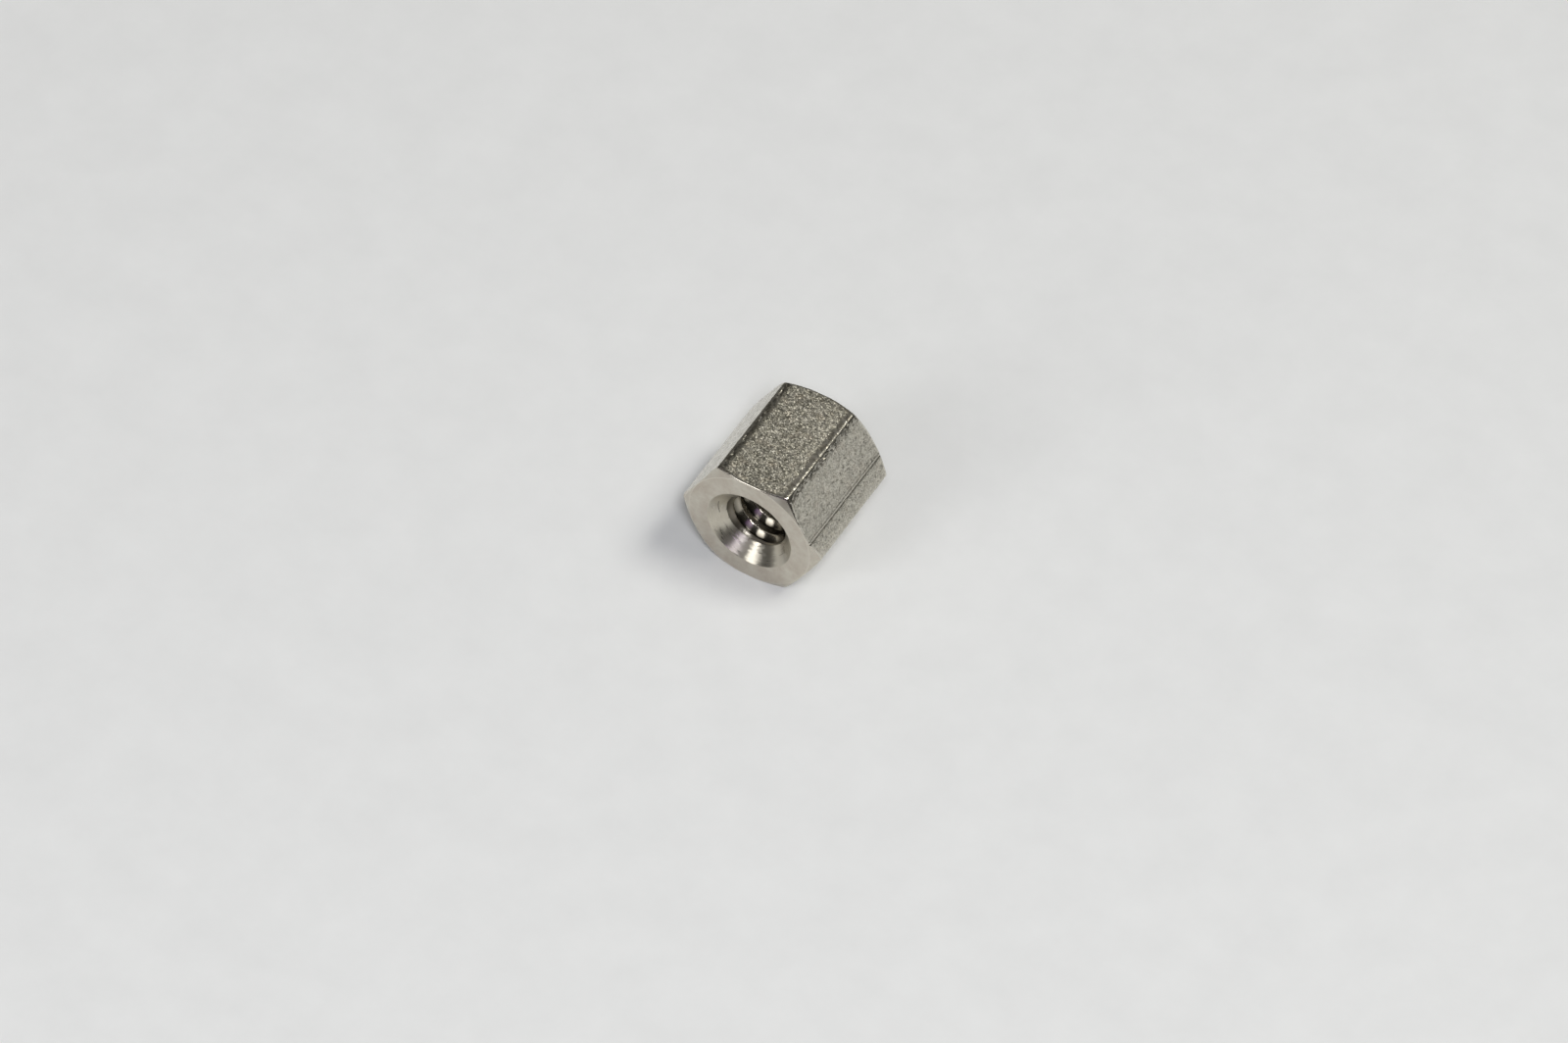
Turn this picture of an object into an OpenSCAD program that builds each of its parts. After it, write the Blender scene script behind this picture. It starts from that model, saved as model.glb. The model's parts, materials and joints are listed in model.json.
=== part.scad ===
// Hex standoff, female to female, lying on one of its flats.
//
// A length of drawn hex bar, parted off and faced at both ends. Each end has
// a shallow chamfer that trims the hexagon's corners and a countersunk mouth,
// and one tapped hole runs right through. The thread itself is too fine for
// these solids: the hole is bored to the circle that its crests lie on.
//
// The bore lies along Y. The origin is on the bottom flat, midway between the
// two end faces, and all sizes are in millimetres.

/* [Bar] */
// Distance across the flats of the hex bar
across_flats = 6.35; // [5.5:0.05:9]
// Length over both end faces
standoff_length = 6.35; // [5:0.05:25]
// Radius along the bar's six long corners
corner_radius = 0.35; // [0.1:0.05:0.6]
// Angle at which the corner arcs meet the flats, in degrees
corner_crease = 4; // [2:1:15]

/* [Ends] */
// How far the round end face stands inside the flats
face_inset = 0.025; // [0:0.005:0.3]
// Slope of the corner chamfer, from the end face, in degrees
chamfer_slope = 27; // [15:1:45]
// Diameter of the countersink at the end face
mouth_diameter = 4.4; // [3.2:0.05:4.8]
// Included angle of the countersink, in degrees
countersink_angle = 90; // [60:1:120]

/* [Hole] */
// Diameter across the crests of the thread
crest_diameter = 2.71; // [2.5:0.01:3]

/* [Hidden] */

STEEL = "#A9A395";
CORNERS = 6;
CORNER_STEP = 360 / CORNERS;
CUT_CLEARANCE = 1;  // how far a cut starts outside the metal
$fn = 96;

flat_radius = across_flats / 2;
half_length = standoff_length / 2;

// Each corner arc's centre lies this deep under its two flats, and this far
// out from the bore's axis. The core's edges cross the flats above those
// centres, where the arcs' circles stand just proud of the flats.
arc_centre_depth = corner_radius * cos(corner_crease);
arc_centre_radius = (flat_radius - arc_centre_depth) / cos(CORNER_STEP / 2);
core_radius = arc_centre_radius + arc_centre_depth * cos(CORNER_STEP / 2);

face_radius = flat_radius - face_inset;
envelope_radius = arc_centre_radius + corner_radius + CUT_CLEARANCE;
chamfer_depth = (envelope_radius - face_radius) * tan(chamfer_slope);

crest_radius = crest_diameter / 2;
mouth_radius = mouth_diameter / 2;
countersink_half_angle = countersink_angle / 2;
countersink_depth = (mouth_radius - crest_radius) / tan(countersink_half_angle);
cutter_radius = mouth_radius + CUT_CLEARANCE * tan(countersink_half_angle);

// A hexagon with its first corner on +X, sized by the radius to its flats
module hexagon(radius) {
    circle(radius / cos(CORNER_STEP / 2), $fn = CORNERS);
}

// Cross-section of the bar, with a flat at the bottom and corners to the
// sides: a sharp hexagon, kept only where it lies in a core that cuts off its
// corners or in the arcs' circles
module bar_section() {
    intersection() {
        hexagon(flat_radius);
        union() {
            rotate(CORNER_STEP / 2)
                hexagon(core_radius);
            for (i = [0 : CORNERS - 1])
                rotate(i * CORNER_STEP)
                    translate([arc_centre_radius, 0])
                        circle(corner_radius);
        }
    }
}

module drawn_bar() {
    linear_extrude(standoff_length, center = true)
        bar_section();
}

// What facing and chamfering leave: a disc with a cone at each end
module end_turning() {
    rotate_extrude()
        polygon([
            [0, -half_length],
            [face_radius, -half_length],
            [envelope_radius, -half_length + chamfer_depth],
            [envelope_radius, half_length - chamfer_depth],
            [face_radius, half_length],
            [0, half_length]
        ]);
}

// The hole at its crests, with a countersink at each end
module tapped_hole() {
    rotate_extrude()
        polygon([
            [0, -half_length - CUT_CLEARANCE],
            [cutter_radius, -half_length - CUT_CLEARANCE],
            [crest_radius, -half_length + countersink_depth],
            [crest_radius, half_length - countersink_depth],
            [cutter_radius, half_length + CUT_CLEARANCE],
            [0, half_length + CUT_CLEARANCE]
        ]);
}

module standoff() {
    color(STEEL)
        translate([0, 0, flat_radius])
            rotate([90, 0, 0])
                difference() {
                    intersection() {
                        drawn_bar();
                        end_turning();
                    }
                    tapped_hole();
                }
}

standoff();
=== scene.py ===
# %% [markdown]
# # A short hex standoff
#
# A standoff is a threaded spacer: a screw goes in from each end and it holds two boards apart. This one is a
# single piece of metal, so it is modelled as a single mesh. What makes it look real is how each of its
# surfaces was made. The six flats come from drawing the bar, the end faces and countersinks from a lathe
# tool, and the thread from a tap, so each gets a material of its own.
#
# The solid model of the same part is loaded first. It is the frame that everything is measured from, and it
# is never moved or changed.

# %% Load the frame
import json
import math

import bpy
import numpy as np
from mathutils import Matrix, Vector


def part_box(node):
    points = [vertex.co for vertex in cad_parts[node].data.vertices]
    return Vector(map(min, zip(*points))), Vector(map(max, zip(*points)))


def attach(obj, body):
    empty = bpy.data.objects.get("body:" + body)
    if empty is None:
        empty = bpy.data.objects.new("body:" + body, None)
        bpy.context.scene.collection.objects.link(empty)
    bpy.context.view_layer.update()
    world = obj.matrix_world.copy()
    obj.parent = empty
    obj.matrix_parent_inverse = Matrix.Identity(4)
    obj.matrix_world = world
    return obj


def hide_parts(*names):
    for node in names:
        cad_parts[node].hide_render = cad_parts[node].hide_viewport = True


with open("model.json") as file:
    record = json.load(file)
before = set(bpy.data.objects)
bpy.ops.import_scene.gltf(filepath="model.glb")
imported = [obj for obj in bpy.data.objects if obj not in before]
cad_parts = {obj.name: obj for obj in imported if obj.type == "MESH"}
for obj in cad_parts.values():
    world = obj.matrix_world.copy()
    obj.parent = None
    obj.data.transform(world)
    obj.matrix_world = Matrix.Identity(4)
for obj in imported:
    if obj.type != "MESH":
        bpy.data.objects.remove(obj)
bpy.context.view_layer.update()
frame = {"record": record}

# %% [markdown]
# ## Sizes
#
# The outer sizes and the bore's are read from the solid model, so that the two can't drift apart. They are
# kept in millimetres, because that is how a maker reads a drawing, and turned to Blender's metres once, when
# the mesh is made. The bore's axis lies along Y, halfway up between the bottom flat and the top flat.
#
# The solid model has a plain bore where the thread is, so the thread's sizes are set here. Its pitch is the
# standard one for a 6-32 screw, 32 turns to the inch. Its section is eased from the standard, as told further
# down.

# %% Read the sizes from the frame
MM = 0.001  # one millimetre in metres

box_low, box_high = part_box("standoff")
across_flats = (box_high.z - box_low.z) / MM
half_length = (box_high.y - box_low.y) / 2 / MM
corner_reach = (box_high.x - box_low.x) / 2 / MM
flat_radius = across_flats / 2

thread = next(m for m in frame["record"]["mounts"] if m["name"] == "thread")
crest_radius = thread["dims"]["r_mm"]
countersink_depth = half_length - thread["dims"]["length_mm"] / 2
mouth_radius = crest_radius + countersink_depth  # the countersink's wall slopes at 45 degrees
print(f"{across_flats:.3f} across flats, {2 * half_length:.3f} long, mouth {2 * mouth_radius:.2f} across")

# %% Sizes of the thread
PITCH = 25.4 / 32
CREST_FLAT = 0.26
FLANK_SLOPE = math.radians(45)  # between a flank and a line along the bore, where the standard has 60
flank = (PITCH - CREST_FLAT) / 2
root_radius = crest_radius + flank * math.tan(FLANK_SLOPE)
print(f"pitch {PITCH:.3f}, thread {root_radius - crest_radius:.3f} deep")

# %% [markdown]
# ## The bar's outline
#
# Drawn bar is pulled through a hexagonal die, which leaves flat sides and slightly rounded corners. The
# outline could be a hexagon with a Bevel modifier, but the mesh below needs to know where each point is round
# the axis, so it is worked out one by one. Each corner is an arc that meets its two flats smoothly, and its
# radius follows from how far the solid model reaches at the corners. Beside each corner the flat falls away
# by one or two hundredths of a millimetre, where a worn die pinches it, and that is enough to show as a band
# with another reflection.
#
# Dies wear, and a worn spot or a chip draws a line down the whole bar. One flat has such a line: a low ridge
# with a groove beside it. It is part of the outline, so it is real shape and runs the whole length.

# %% Sizes of the section
HALF_SIDE = math.pi / 6  # turn from the middle of a flat to its corner
corner_radius = (flat_radius / math.cos(HALF_SIDE) - corner_reach) / (1 / math.cos(HALF_SIDE) - 1)
flat_half_width = (flat_radius - corner_radius) * math.tan(HALF_SIDE)

# Places are in mm from the middle of a flat, and heights and depths in mm from the flat.
SHOULDER_AT, SHOULDER_HALF_WIDTH, SHOULDER_DEPTH = 1.62, 0.22, 0.016
GROOVE_AT, GROOVE_HALF_WIDTH, GROOVE_DEPTH = 0.79, 0.05, 0.018
RIDGE_AT, RIDGE_HALF_WIDTH, RIDGE_HEIGHT = 0.69, 0.045, 0.007
LINE_SIDE = 0  # the flat that carries the die line, counted from +X towards +Z
LINE_BEFORE, LINE_AFTER = 0.06, 0.29  # mm on either side of the groove's middle that get finer points
LINE_STEPS, LINE_GAP = 25, 0.02  # how many points, and mm kept clear between them and the next coarse one
ARC_STEPS = 5  # from the middle of a corner to its flat
FLAT_STEPS = 38
print(f"corner radius {corner_radius:.3f} mm, flats {2 * flat_half_width:.3f} mm wide")

# %% Outline of the section, once round
def bump_at(across, middle, half_width):
    """1 at the middle, falling smoothly to 0 a half width away."""
    near = np.clip(1 - np.abs(across - middle) / half_width, 0, 1)
    return near * near * (3 - 2 * near)


def side_points(side):
    """Outline points of one side, from the middle of its first corner to the middle of the next.

    Each point has its x and z, how far across the flat it is, and the number of its side.
    """
    normal = math.radians(30 + 60 * side)
    across = np.linspace(flat_half_width, -flat_half_width, FLAT_STEPS + 1)
    if side == LINE_SIDE:
        fine = np.linspace(GROOVE_AT + LINE_BEFORE, GROOVE_AT - LINE_AFTER, LINE_STEPS)
        coarse = across[(across > fine[0] + LINE_GAP) | (across < fine[-1] - LINE_GAP)]
        across = np.sort(np.concatenate([coarse, fine]))[::-1]
    out = np.full(len(across), flat_radius)
    if side == LINE_SIDE:
        out += RIDGE_HEIGHT * bump_at(across, RIDGE_AT, RIDGE_HALF_WIDTH)
        out -= GROOVE_DEPTH * bump_at(across, GROOVE_AT, GROOVE_HALF_WIDTH)
    turn = np.radians(np.linspace(30, 0, ARC_STEPS + 1))[:-1]
    arc_across = flat_half_width + corner_radius * np.sin(turn)
    arc_out = flat_radius - corner_radius * (1 - np.cos(turn))
    across = np.concatenate([arc_across, across, -arc_across[:0:-1]])
    out = np.concatenate([arc_out, out, arc_out[:0:-1]])
    out -= SHOULDER_DEPTH * bump_at(np.abs(across), SHOULDER_AT, SHOULDER_HALF_WIDTH)
    x = out * math.cos(normal) + across * math.sin(normal)
    z = out * math.sin(normal) - across * math.cos(normal)
    return np.stack([x, z, across, np.full(len(x), side)])


outline = np.concatenate([side_points(side) for side in range(6)], axis=1)
outline_turn = np.unwrap(np.arctan2(outline[1], outline[0]))
outline_radius = np.hypot(outline[0], outline[1])
print(f"{len(outline_turn)} points round the bar")

# %% [markdown]
# ## From the outline to the whole surface
#
# The rest of the part was turned on a lathe, apart from its flats. A Screw modifier makes a lathed shape, but
# here the outside changes with the angle and the thread climbs as it goes round. So the mesh is a lathe whose
# profile is worked out afresh at each angle: a closed line of (radius, y) points, from the flat over the
# front edge and face, through the bore, and back over the rear face.
#
# No real edge is sharp. The outer edges are rounded as if a small ball had rolled along inside them. The ball
# grows towards the bar's long corners, because their ends knock together in the drum. Where the chamfer is
# too narrow for it, near the middle of each flat, the chamfer disappears into the rounding, as it does on the
# real part.

# %% Sizes of the outer edge, face and mouth
FACE_INSET = 0.025
CHAMFER = math.radians(27)
EDGE_ROUND = 0.07  # radius along the edges of the flats and the face
CORNER_ROUND = 0.16  # the same at the ends of the bar's long corners
MOUTH_ROUND = 0.03
OUTER_STEPS, CHAMFER_STEPS, INNER_STEPS, FACE_STEPS, MOUTH_STEPS = 5, 4, 3, 9, 4
face_radius = flat_radius - FACE_INSET
print(f"end face {2 * face_radius:.2f} mm across")

# %% Profile of the outer edge, face and mouth
def arc(centre_r, centre_y, radius, start, stop, steps):
    """Points on an arc. An angle of 0 points away from the axis, and 90 out of the front face."""
    turn = np.radians(np.linspace(start, stop, steps + 1))
    return [(centre_r + radius * math.cos(a), centre_y - radius * math.sin(a)) for a in turn]


def front_end(reach):
    """Profile of the front end, from the flat to the countersink, where the bar reaches this far."""
    outer_round = np.interp(reach, (flat_radius, corner_reach), (EDGE_ROUND, CORNER_ROUND))
    edge_r, edge_y = reach - outer_round, -half_length + outer_round
    inner_r, inner_round = edge_r, outer_round
    if outer_round * math.cos(CHAMFER) - (edge_r - face_radius) * math.sin(CHAMFER) < outer_round:
        # The chamfer shows here, so the ball rolls along both of its edges.
        edge_y = -half_length + (outer_round + (edge_r - face_radius) * math.sin(CHAMFER)) / math.cos(CHAMFER)
        inner_round = EDGE_ROUND
        inner_r = face_radius - inner_round * (1 - math.cos(CHAMFER)) / math.sin(CHAMFER)
    slope_out = 90 - math.degrees(CHAMFER)
    outer = arc(edge_r, edge_y, outer_round, 0, slope_out, OUTER_STEPS)
    inner = arc(inner_r, -half_length + inner_round, inner_round, slope_out, 90, INNER_STEPS)
    (r0, y0), (r1, y1) = outer[-1], inner[0]
    chamfer = np.linspace((r0, y0), (r1, y1), CHAMFER_STEPS + 1)[1:-1]
    mouth_r = mouth_radius + MOUTH_ROUND * math.tan(math.radians(22.5))
    face = np.linspace((inner_r, -half_length), (mouth_r, -half_length), FACE_STEPS + 1)[1:-1]
    mouth = arc(mouth_r, -half_length + MOUTH_ROUND, MOUTH_ROUND, 90, 135, MOUTH_STEPS)
    return np.concatenate([outer, chamfer, inner, face, mouth])


at_corner = front_end(corner_reach)
chamfer_depth = at_corner[OUTER_STEPS, 1] + half_length
print(f"{len(at_corner)} points from flat to countersink, chamfer {chamfer_depth:.3f} mm deep")

# %% [markdown]
# ## The thread
#
# A tap makes a groove that climbs one pitch for each turn. A bump map would not hold up here, because the
# thread shows at the mouth, where it catches the light and cuts into the countersink, so it is real shape.
#
# Cut to the standard, the thread over this hole would be a V with its flanks 60 degrees apart, 0.40 mm deep.
# This one mirrors the lamps in broad, soft bands, one to each turn, and flanks as steep as that would hide
# the lamps behind the crest in front. So the flanks are eased to 45 degrees from the bore, the groove is 0.27
# mm deep and the crests are rounded. That section is read from how the light falls on it and was never
# measured. The crest nearest the mouth is only half formed. The thread is taken to be right-handed, as nearly
# all are.
#
# The groove is a line of points along the bore, moved back by a share of the pitch as the angle grows. After
# a full turn it has moved by exactly one pitch, so the last column of points falls on the first and the seam
# closes. Where the countersink is wider than the thread, the countersink wins, and a point is added where the
# two cross so that the edge between them is clean.

# %% One pitch of the thread, with its edges rounded
THREAD_NEAR_EDGE = 1.386  # mm from the front face to a crest's near edge, at the angle below
THREAD_ANGLE = math.radians(242)
CREST_ROUND, ROOT_ROUND = 0.09, 0.03
ROUND_STEPS = 4
FLANK_ROWS = (0.3, 0.5, 0.7)  # shares of a flank at which it gets a point


def rounded(points, radii, steps):
    """The inner points of a line of (y, radius) points, each turned into an arc, or kept if its round is 0."""
    made = []
    for before, here, after, radius in zip(points, points[1:], points[2:], radii):
        if not radius:
            made.append(here)
            continue
        into, out = np.subtract(here, before), np.subtract(after, here)
        into, out = into / np.hypot(*into), out / np.hypot(*out)
        half_turn = math.acos(np.clip(into @ out, -1, 1)) / 2
        start = np.array(here) - into * radius * math.tan(half_turn)
        towards = out - into * (into @ out)
        towards = towards / np.hypot(*towards)
        for k in range(steps + 1):
            a = 2 * half_turn * k / steps
            made.append(tuple(start + radius * (into * math.sin(a) + towards * (1 - math.cos(a)))))
    return made


groove = np.array([(CREST_FLAT, crest_radius), (CREST_FLAT + flank, root_radius), (PITCH, crest_radius)])
down = [tuple(groove[0] + share * (groove[1] - groove[0])) for share in FLANK_ROWS]
rise = [tuple(groove[1] + share * (groove[2] - groove[1])) for share in FLANK_ROWS]
section = [(rise[2][0] - PITCH, rise[2][1]), (0, crest_radius), (CREST_FLAT / 2, crest_radius)]
section += [tuple(groove[0]), *down, tuple(groove[1]), *rise, (PITCH, crest_radius)]
rounds = [CREST_ROUND, 0, CREST_ROUND, 0, 0, 0, ROOT_ROUND, 0, 0, 0]
one_pitch = np.array(rounded(section, rounds, ROUND_STEPS))
reach_past_both_ends = range(-3, 8)
pitches = np.concatenate([one_pitch + [PITCH * k, 0] for k in reach_past_both_ends])
print(f"{len(one_pitch)} points a pitch, {len(pitches)} along the bore")

# %% Profile of the bore at one angle
LIP_RADIUS = 1.49  # where the half-formed crest meets the countersink, on its narrower side
LIP_OFFSET, LIP_SIDE = 0.045, math.radians(130)  # mm that the lip is off the axis, and towards which side
RUN_IN = 0.35  # mm from the lip to where the crests are whole
cone_start = half_length - MOUTH_ROUND * (1 - math.cos(math.radians(45)))  # where the mouth's rounding ends


def cone_radius(y):
    """Radius of the countersinks at y, if they went on for ever."""
    return mouth_radius - half_length + np.abs(y)


def bore(turn):
    """Profile of the bore at this angle, from the front countersink to the rear one."""
    y = pitches[:, 0] - half_length + THREAD_NEAR_EDGE - PITCH * (turn - THREAD_ANGLE) / (2 * math.pi)
    lip_radius = LIP_RADIUS + LIP_OFFSET * (1 + math.cos(turn - LIP_SIDE))
    formed = np.clip((half_length - np.abs(y) - mouth_radius + lip_radius) / RUN_IN, 0, 1)
    thread_r = np.maximum(pitches[:, 1], lip_radius + (crest_radius - lip_radius) * formed)
    cone_r = cone_radius(y)
    proud = thread_r - cone_r
    made = np.zeros((2 * len(y), 2))
    made[0::2] = np.stack([np.maximum(thread_r, cone_r), y], axis=1)
    made[1::2] = made[0::2]
    for k in np.nonzero(proud[:-1] * proud[1:] < 0)[0]:
        if y[k] * y[k + 1] > 0:
            share = proud[k] / (proud[k] - proud[k + 1])
            cross = y[k] + share * (y[k + 1] - y[k])
            made[2 * k + 1] = cone_radius(cross), cross
    beyond = np.abs(made[:, 1]) > cone_start
    made[beyond, 0] = cone_radius(cone_start)
    made[beyond, 1] = np.sign(made[beyond, 1]) * cone_start
    return made


print(f"{len(bore(0.0))} points in the bore's profile")

# %% Put the profiles together
FLAT_ROWS = 12
EDGE_FADE = 0.05  # mm from an edge's rounding to the first row on the flat
turns = np.append(outline_turn, outline_turn[0] + 2 * math.pi)
reaches = np.append(outline_radius, outline_radius[0])


def whole_profile(turn, reach):
    """The closed profile at one angle."""
    front = front_end(reach)
    rear = front[::-1] * [1, -1]
    edge = front[0, 1]
    side_y = np.linspace(-edge - EDGE_FADE, edge + EDGE_FADE, FLAT_ROWS - 1)
    side = np.stack([np.full(len(side_y), reach), side_y], axis=1)
    return np.concatenate([front, bore(turn), rear, side])


rows = np.array([whole_profile(turn, reach) for turn, reach in zip(turns, reaches)])
columns, around = rows.shape[:2]
points = np.stack(
    [
        rows[:, :, 0] * np.cos(turns)[:, None],
        rows[:, :, 1],
        flat_radius + rows[:, :, 0] * np.sin(turns)[:, None],
    ],
    axis=2,
)
print(f"{columns} profiles of {around} points")

# %% [markdown]
# ## The mesh and its surfaces
#
# Neighbouring profiles are joined with four-sided faces. Many points of the bore's profiles fall on the same
# place at the mouths, and the last profile falls on the first, so equal points are merged, and faces that
# have shrunk to a line are left out. What is left is one closed skin with no inner walls.
#
# Each face remembers which tool made it. That could be painted by hand in Edit Mode, but the profile already
# says it: its first stretch is the flat, then come the turned end and the countersink, and what isn't on a
# countersink's cone inside the bore is thread.

# %% Which tool made each stretch of the profile
DRAWN, TURNED, COUNTERSUNK, TAPPED = range(4)

turned_steps = OUTER_STEPS - 2 + CHAMFER_STEPS + INNER_STEPS + FACE_STEPS
front_kinds = [DRAWN] * 2 + [TURNED] * turned_steps + [COUNTERSUNK] * MOUTH_STEPS
row_kinds = front_kinds + [TAPPED] * (len(bore(0.0)) + 1) + front_kinds[::-1] + [DRAWN] * FLAT_ROWS
print(f"{len(row_kinds)} stretches for {around} points")

# %% Join the profiles and merge equal points
SAME_PLACE = 5  # points are the same when they agree to this many decimals of a millimetre
ON_CONE = 1e-4  # mm within which a point counts as on a countersink

column, row = np.meshgrid(np.arange(columns - 1), np.arange(around), indexing="ij")
next_row = (row + 1) % around
quads = np.stack([column, column + 1, column + 1, column], axis=-1) * around
quads += np.stack([row, row, next_row, next_row], axis=-1)

places = np.round(points.reshape(-1, 3), SAME_PLACE)
_, first, merged = np.unique(places, axis=0, return_index=True, return_inverse=True)
corners_of = merged.reshape(-1)[quads.reshape(-1, 4)]
faces, face_kinds = [], []
for corners, kind in zip(corners_of.tolist(), np.tile(row_kinds, columns - 1).tolist()):
    kept = [v for k, v in enumerate(corners) if v != corners[k - 1]]
    if len(kept) > 2 and len(set(kept)) == len(kept):
        faces.append(kept)
        face_kinds.append(kind)

skin = points.reshape(-1, 3)[first]
radius = np.hypot(skin[:, 0], skin[:, 2] - flat_radius)
on_cone = np.abs(radius - cone_radius(skin[:, 1])) < ON_CONE
face_kinds = [
    COUNTERSUNK if kind == TAPPED and on_cone[face].all() else kind for face, kind in zip(faces, face_kinds)
]
print(f"{len(skin)} points and {len(faces)} faces")

# %% Make the object
mesh = bpy.data.meshes.new("hex_standoff")
mesh.from_pydata(skin * MM, [], faces)
mesh.polygons.foreach_set("material_index", face_kinds)
mesh.update()

standoff = bpy.data.objects.new("hex_standoff", mesh)
bpy.context.scene.collection.objects.link(standoff)
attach(standoff, "root")
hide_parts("standoff")
print("size:", [round(size / MM, 3) for size in standoff.dimensions], "mm")

# %% [markdown]
# ## Smooth where it curves, flat where it is flat
#
# The surface is shaded smooth, and edges that turn more than 30 degrees stay sharp, such as where the thread
# cuts into the countersink. Plain smooth shading would tilt the shading of each flat towards its rounded
# edges, and a metal shows that at once as a bent reflection. A Weighted Normal modifier lets the large faces
# decide instead.

# %% Shade the standoff
SHARP = math.radians(30)  # edges that turn more than this stay sharp

mesh.shade_smooth()
mesh.set_sharp_from_angle(angle=SHARP)
weighted = standoff.modifiers.new("flats_lead", "WEIGHTED_NORMAL")
weighted.keep_sharp = True
print(f"{sum(edge.use_edge_sharp for edge in mesh.edges)} sharp edges")

# %% [markdown]
# ## The metal
#
# The whole part is stainless steel with the slightly warm tint of a free-machining grade. A metal has no
# colour of its own under the surface. What is set as Base Color is the tint of its mirror, and Metallic is 1.
# The four materials are tints of that one metal. They differ most in Roughness and in the marks that each
# tool left, which are heights that a Bump node turns into shading.
#
# Roughness starts from what such finishes usually have: about 0.2 where metal has slid on metal, 0.3 where a
# sharp tool has cut, 0.4 for tumbled metal and 0.6 for frosted metal. The IOR isn't touched, because a metal
# keeps the shader's own.
#
# The heights are given in millimetres. The Bump node's Distance of one millimetre, in metres, turns them into
# real slopes, so that a mark is as strong as it would be on the part.

# %% Helpers for materials
NOISE_LOW, NOISE_HIGH = 0.3, 0.7  # nearly all the values of a Noise texture lie between these


def linear(hex_colour):
    """An sRGB hex colour as the linear colour that Blender's sockets take."""
    channels = [int(hex_colour[i : i + 2], 16) / 255 for i in (1, 3, 5)]
    return (*[c / 12.92 if c <= 0.04045 else ((c + 0.055) / 1.055) ** 2.4 for c in channels], 1.0)


def add(tree, kind, inputs=None, **settings):
    """Add one node. Each input is given a number, a colour or the output of another node."""
    node = tree.nodes.new(kind)
    for name, value in settings.items():
        setattr(node, name, value)
    for socket, value in (inputs or {}).items():
        if isinstance(value, bpy.types.NodeSocket):
            tree.links.new(value, node.inputs[socket])
        else:
            node.inputs[socket].default_value = value
    return node


def new_material(name):
    """A material with only its object coordinates in millimetres: the material, its tree and those."""
    material = bpy.data.materials.new(name)
    material.use_nodes = True
    tree = material.node_tree
    tree.nodes.clear()
    metres = add(tree, "ShaderNodeTexCoord").outputs["Object"]
    place = add(tree, "ShaderNodeVectorMath", {0: metres, "Scale": 1 / MM}, operation="SCALE").outputs[0]
    return material, tree, place


print("stainless steel as linear colour:", [round(c, 3) for c in linear("#C7C1B2")[:3]])

# %% [markdown]
# ## Drawn bar, tumbled
#
# The flats are as the bar came from the mill. Drawing and then tumbling or pickling leaves a fine frosted
# grain, in which each tiny facet mirrors another part of the room, so the surface looks like salt and pepper.
# Rubbing against other parts in the drum then polishes it away along the corners, down to a narrow dark
# mirror, and leaves larger, flatter flakes beside those strips. The flat with the die line is worn evenly, so
# it is paler and calmer than the one on top. The flat to the left of the top one is rubbed almost smooth, so
# it mirrors the paper. Where the flats end, the edge is burnished bright all the way round.
#
# Where the grain is kept could be painted by hand in Texture Paint mode. Here it is a few places across each
# flat with a value for each, because the wear runs the whole length of the bar. The values go into attributes
# of the mesh, which the material reads. Darker colour goes in the same way: dirt in faint lines beside the die
# line, painted shade in its groove and a painted darker reflection in the worn strips. So does a painted dark
# reflection on the chamfer of one corner.

# %% How much grain is left
# For each side, counted from +X towards +Z: mm across the flat, and the share of the grain that is left.
GRAIN_LEFT = {
    0: [(-1.8, 0.2), (-1.5, 0.4), (-1.3, 0.44), (0.6, 0.44), (0.85, 0.45), (1.8, 0.46)],
    1: [(-1.8, 0.0), (-1.7, 0.3), (-1.5, 0.35), (-1.35, 0.9), (0.0, 1.0), (1.4, 0.95)]
    + [(1.52, 0.3), (1.6, 0.15), (1.7, 0.1), (1.77, 0.3), (1.81, 0.15)],
    2: [(-1.8, 0.0), (-1.4, 0.08), (1.2, 0.12), (1.7, 0.0)],
}
GRAIN_ELSEWHERE = [(-1.8, 0.1), (-1.5, 0.9), (1.5, 0.9), (1.8, 0.1)]
RAGGED, EVEN = 0.6, 0.15  # how much the share varies from place to place, and on the evenly worn side

grain_left = np.zeros(outline.shape[1])
for side in range(6):
    across, share = np.transpose(GRAIN_LEFT.get(side, GRAIN_ELSEWHERE))
    grain_left += (outline[3] == side) * np.interp(outline[2], across, share)
print(f"on average {grain_left.mean():.2f} of the grain is left")

# %% Strips of flakes, of dirt and painted shade, and the corner's painted dark reflection
# Each strip: the side it lies on, its middle and half width across that side in mm, and its strength.
FLAKES = [
    (1, 1.27, 0.35, 1.0),
    (1, -1.62, 0.12, 3.5),
    (0, -1.62, 0.22, 2.5),
    (0, -0.4, 1.1, 0.35),
]
# Dirt in faint lines, painted shade in the die line's groove and a painted darker reflection in the worn
# strips.
DIRT_AND_PAINTED_SHADE = [
    (0, 0.80, 0.09, 0.65),  # painted shade in the groove of the die line
    (0, 0.62, 0.04, 0.4),  # dirt in fainter lines beside it
    (0, 0.51, 0.04, 0.25),
    (0, 0.15, 0.08, 0.2),
    (0, -1.66, 0.24, 0.8),  # a painted darker reflection in the worn strips beside two of the corners
    (1, -1.6, 0.24, 0.85),
]
# How much darker one corner's chamfer is painted, a painted dark reflection, and where round the bar it lies.
DARK_REFLECTION, DARK_REFLECTION_TURN, DARK_REFLECTION_HALF_TURN = 0.45, math.radians(56), math.radians(15)


def strips(listed):
    """The sum of such strips at each point of the outline."""
    total = np.zeros(outline.shape[1])
    for side, middle, half_width, strength in listed:
        total += (outline[3] == side) * strength * bump_at(outline[2], middle, half_width)
    return total


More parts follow.
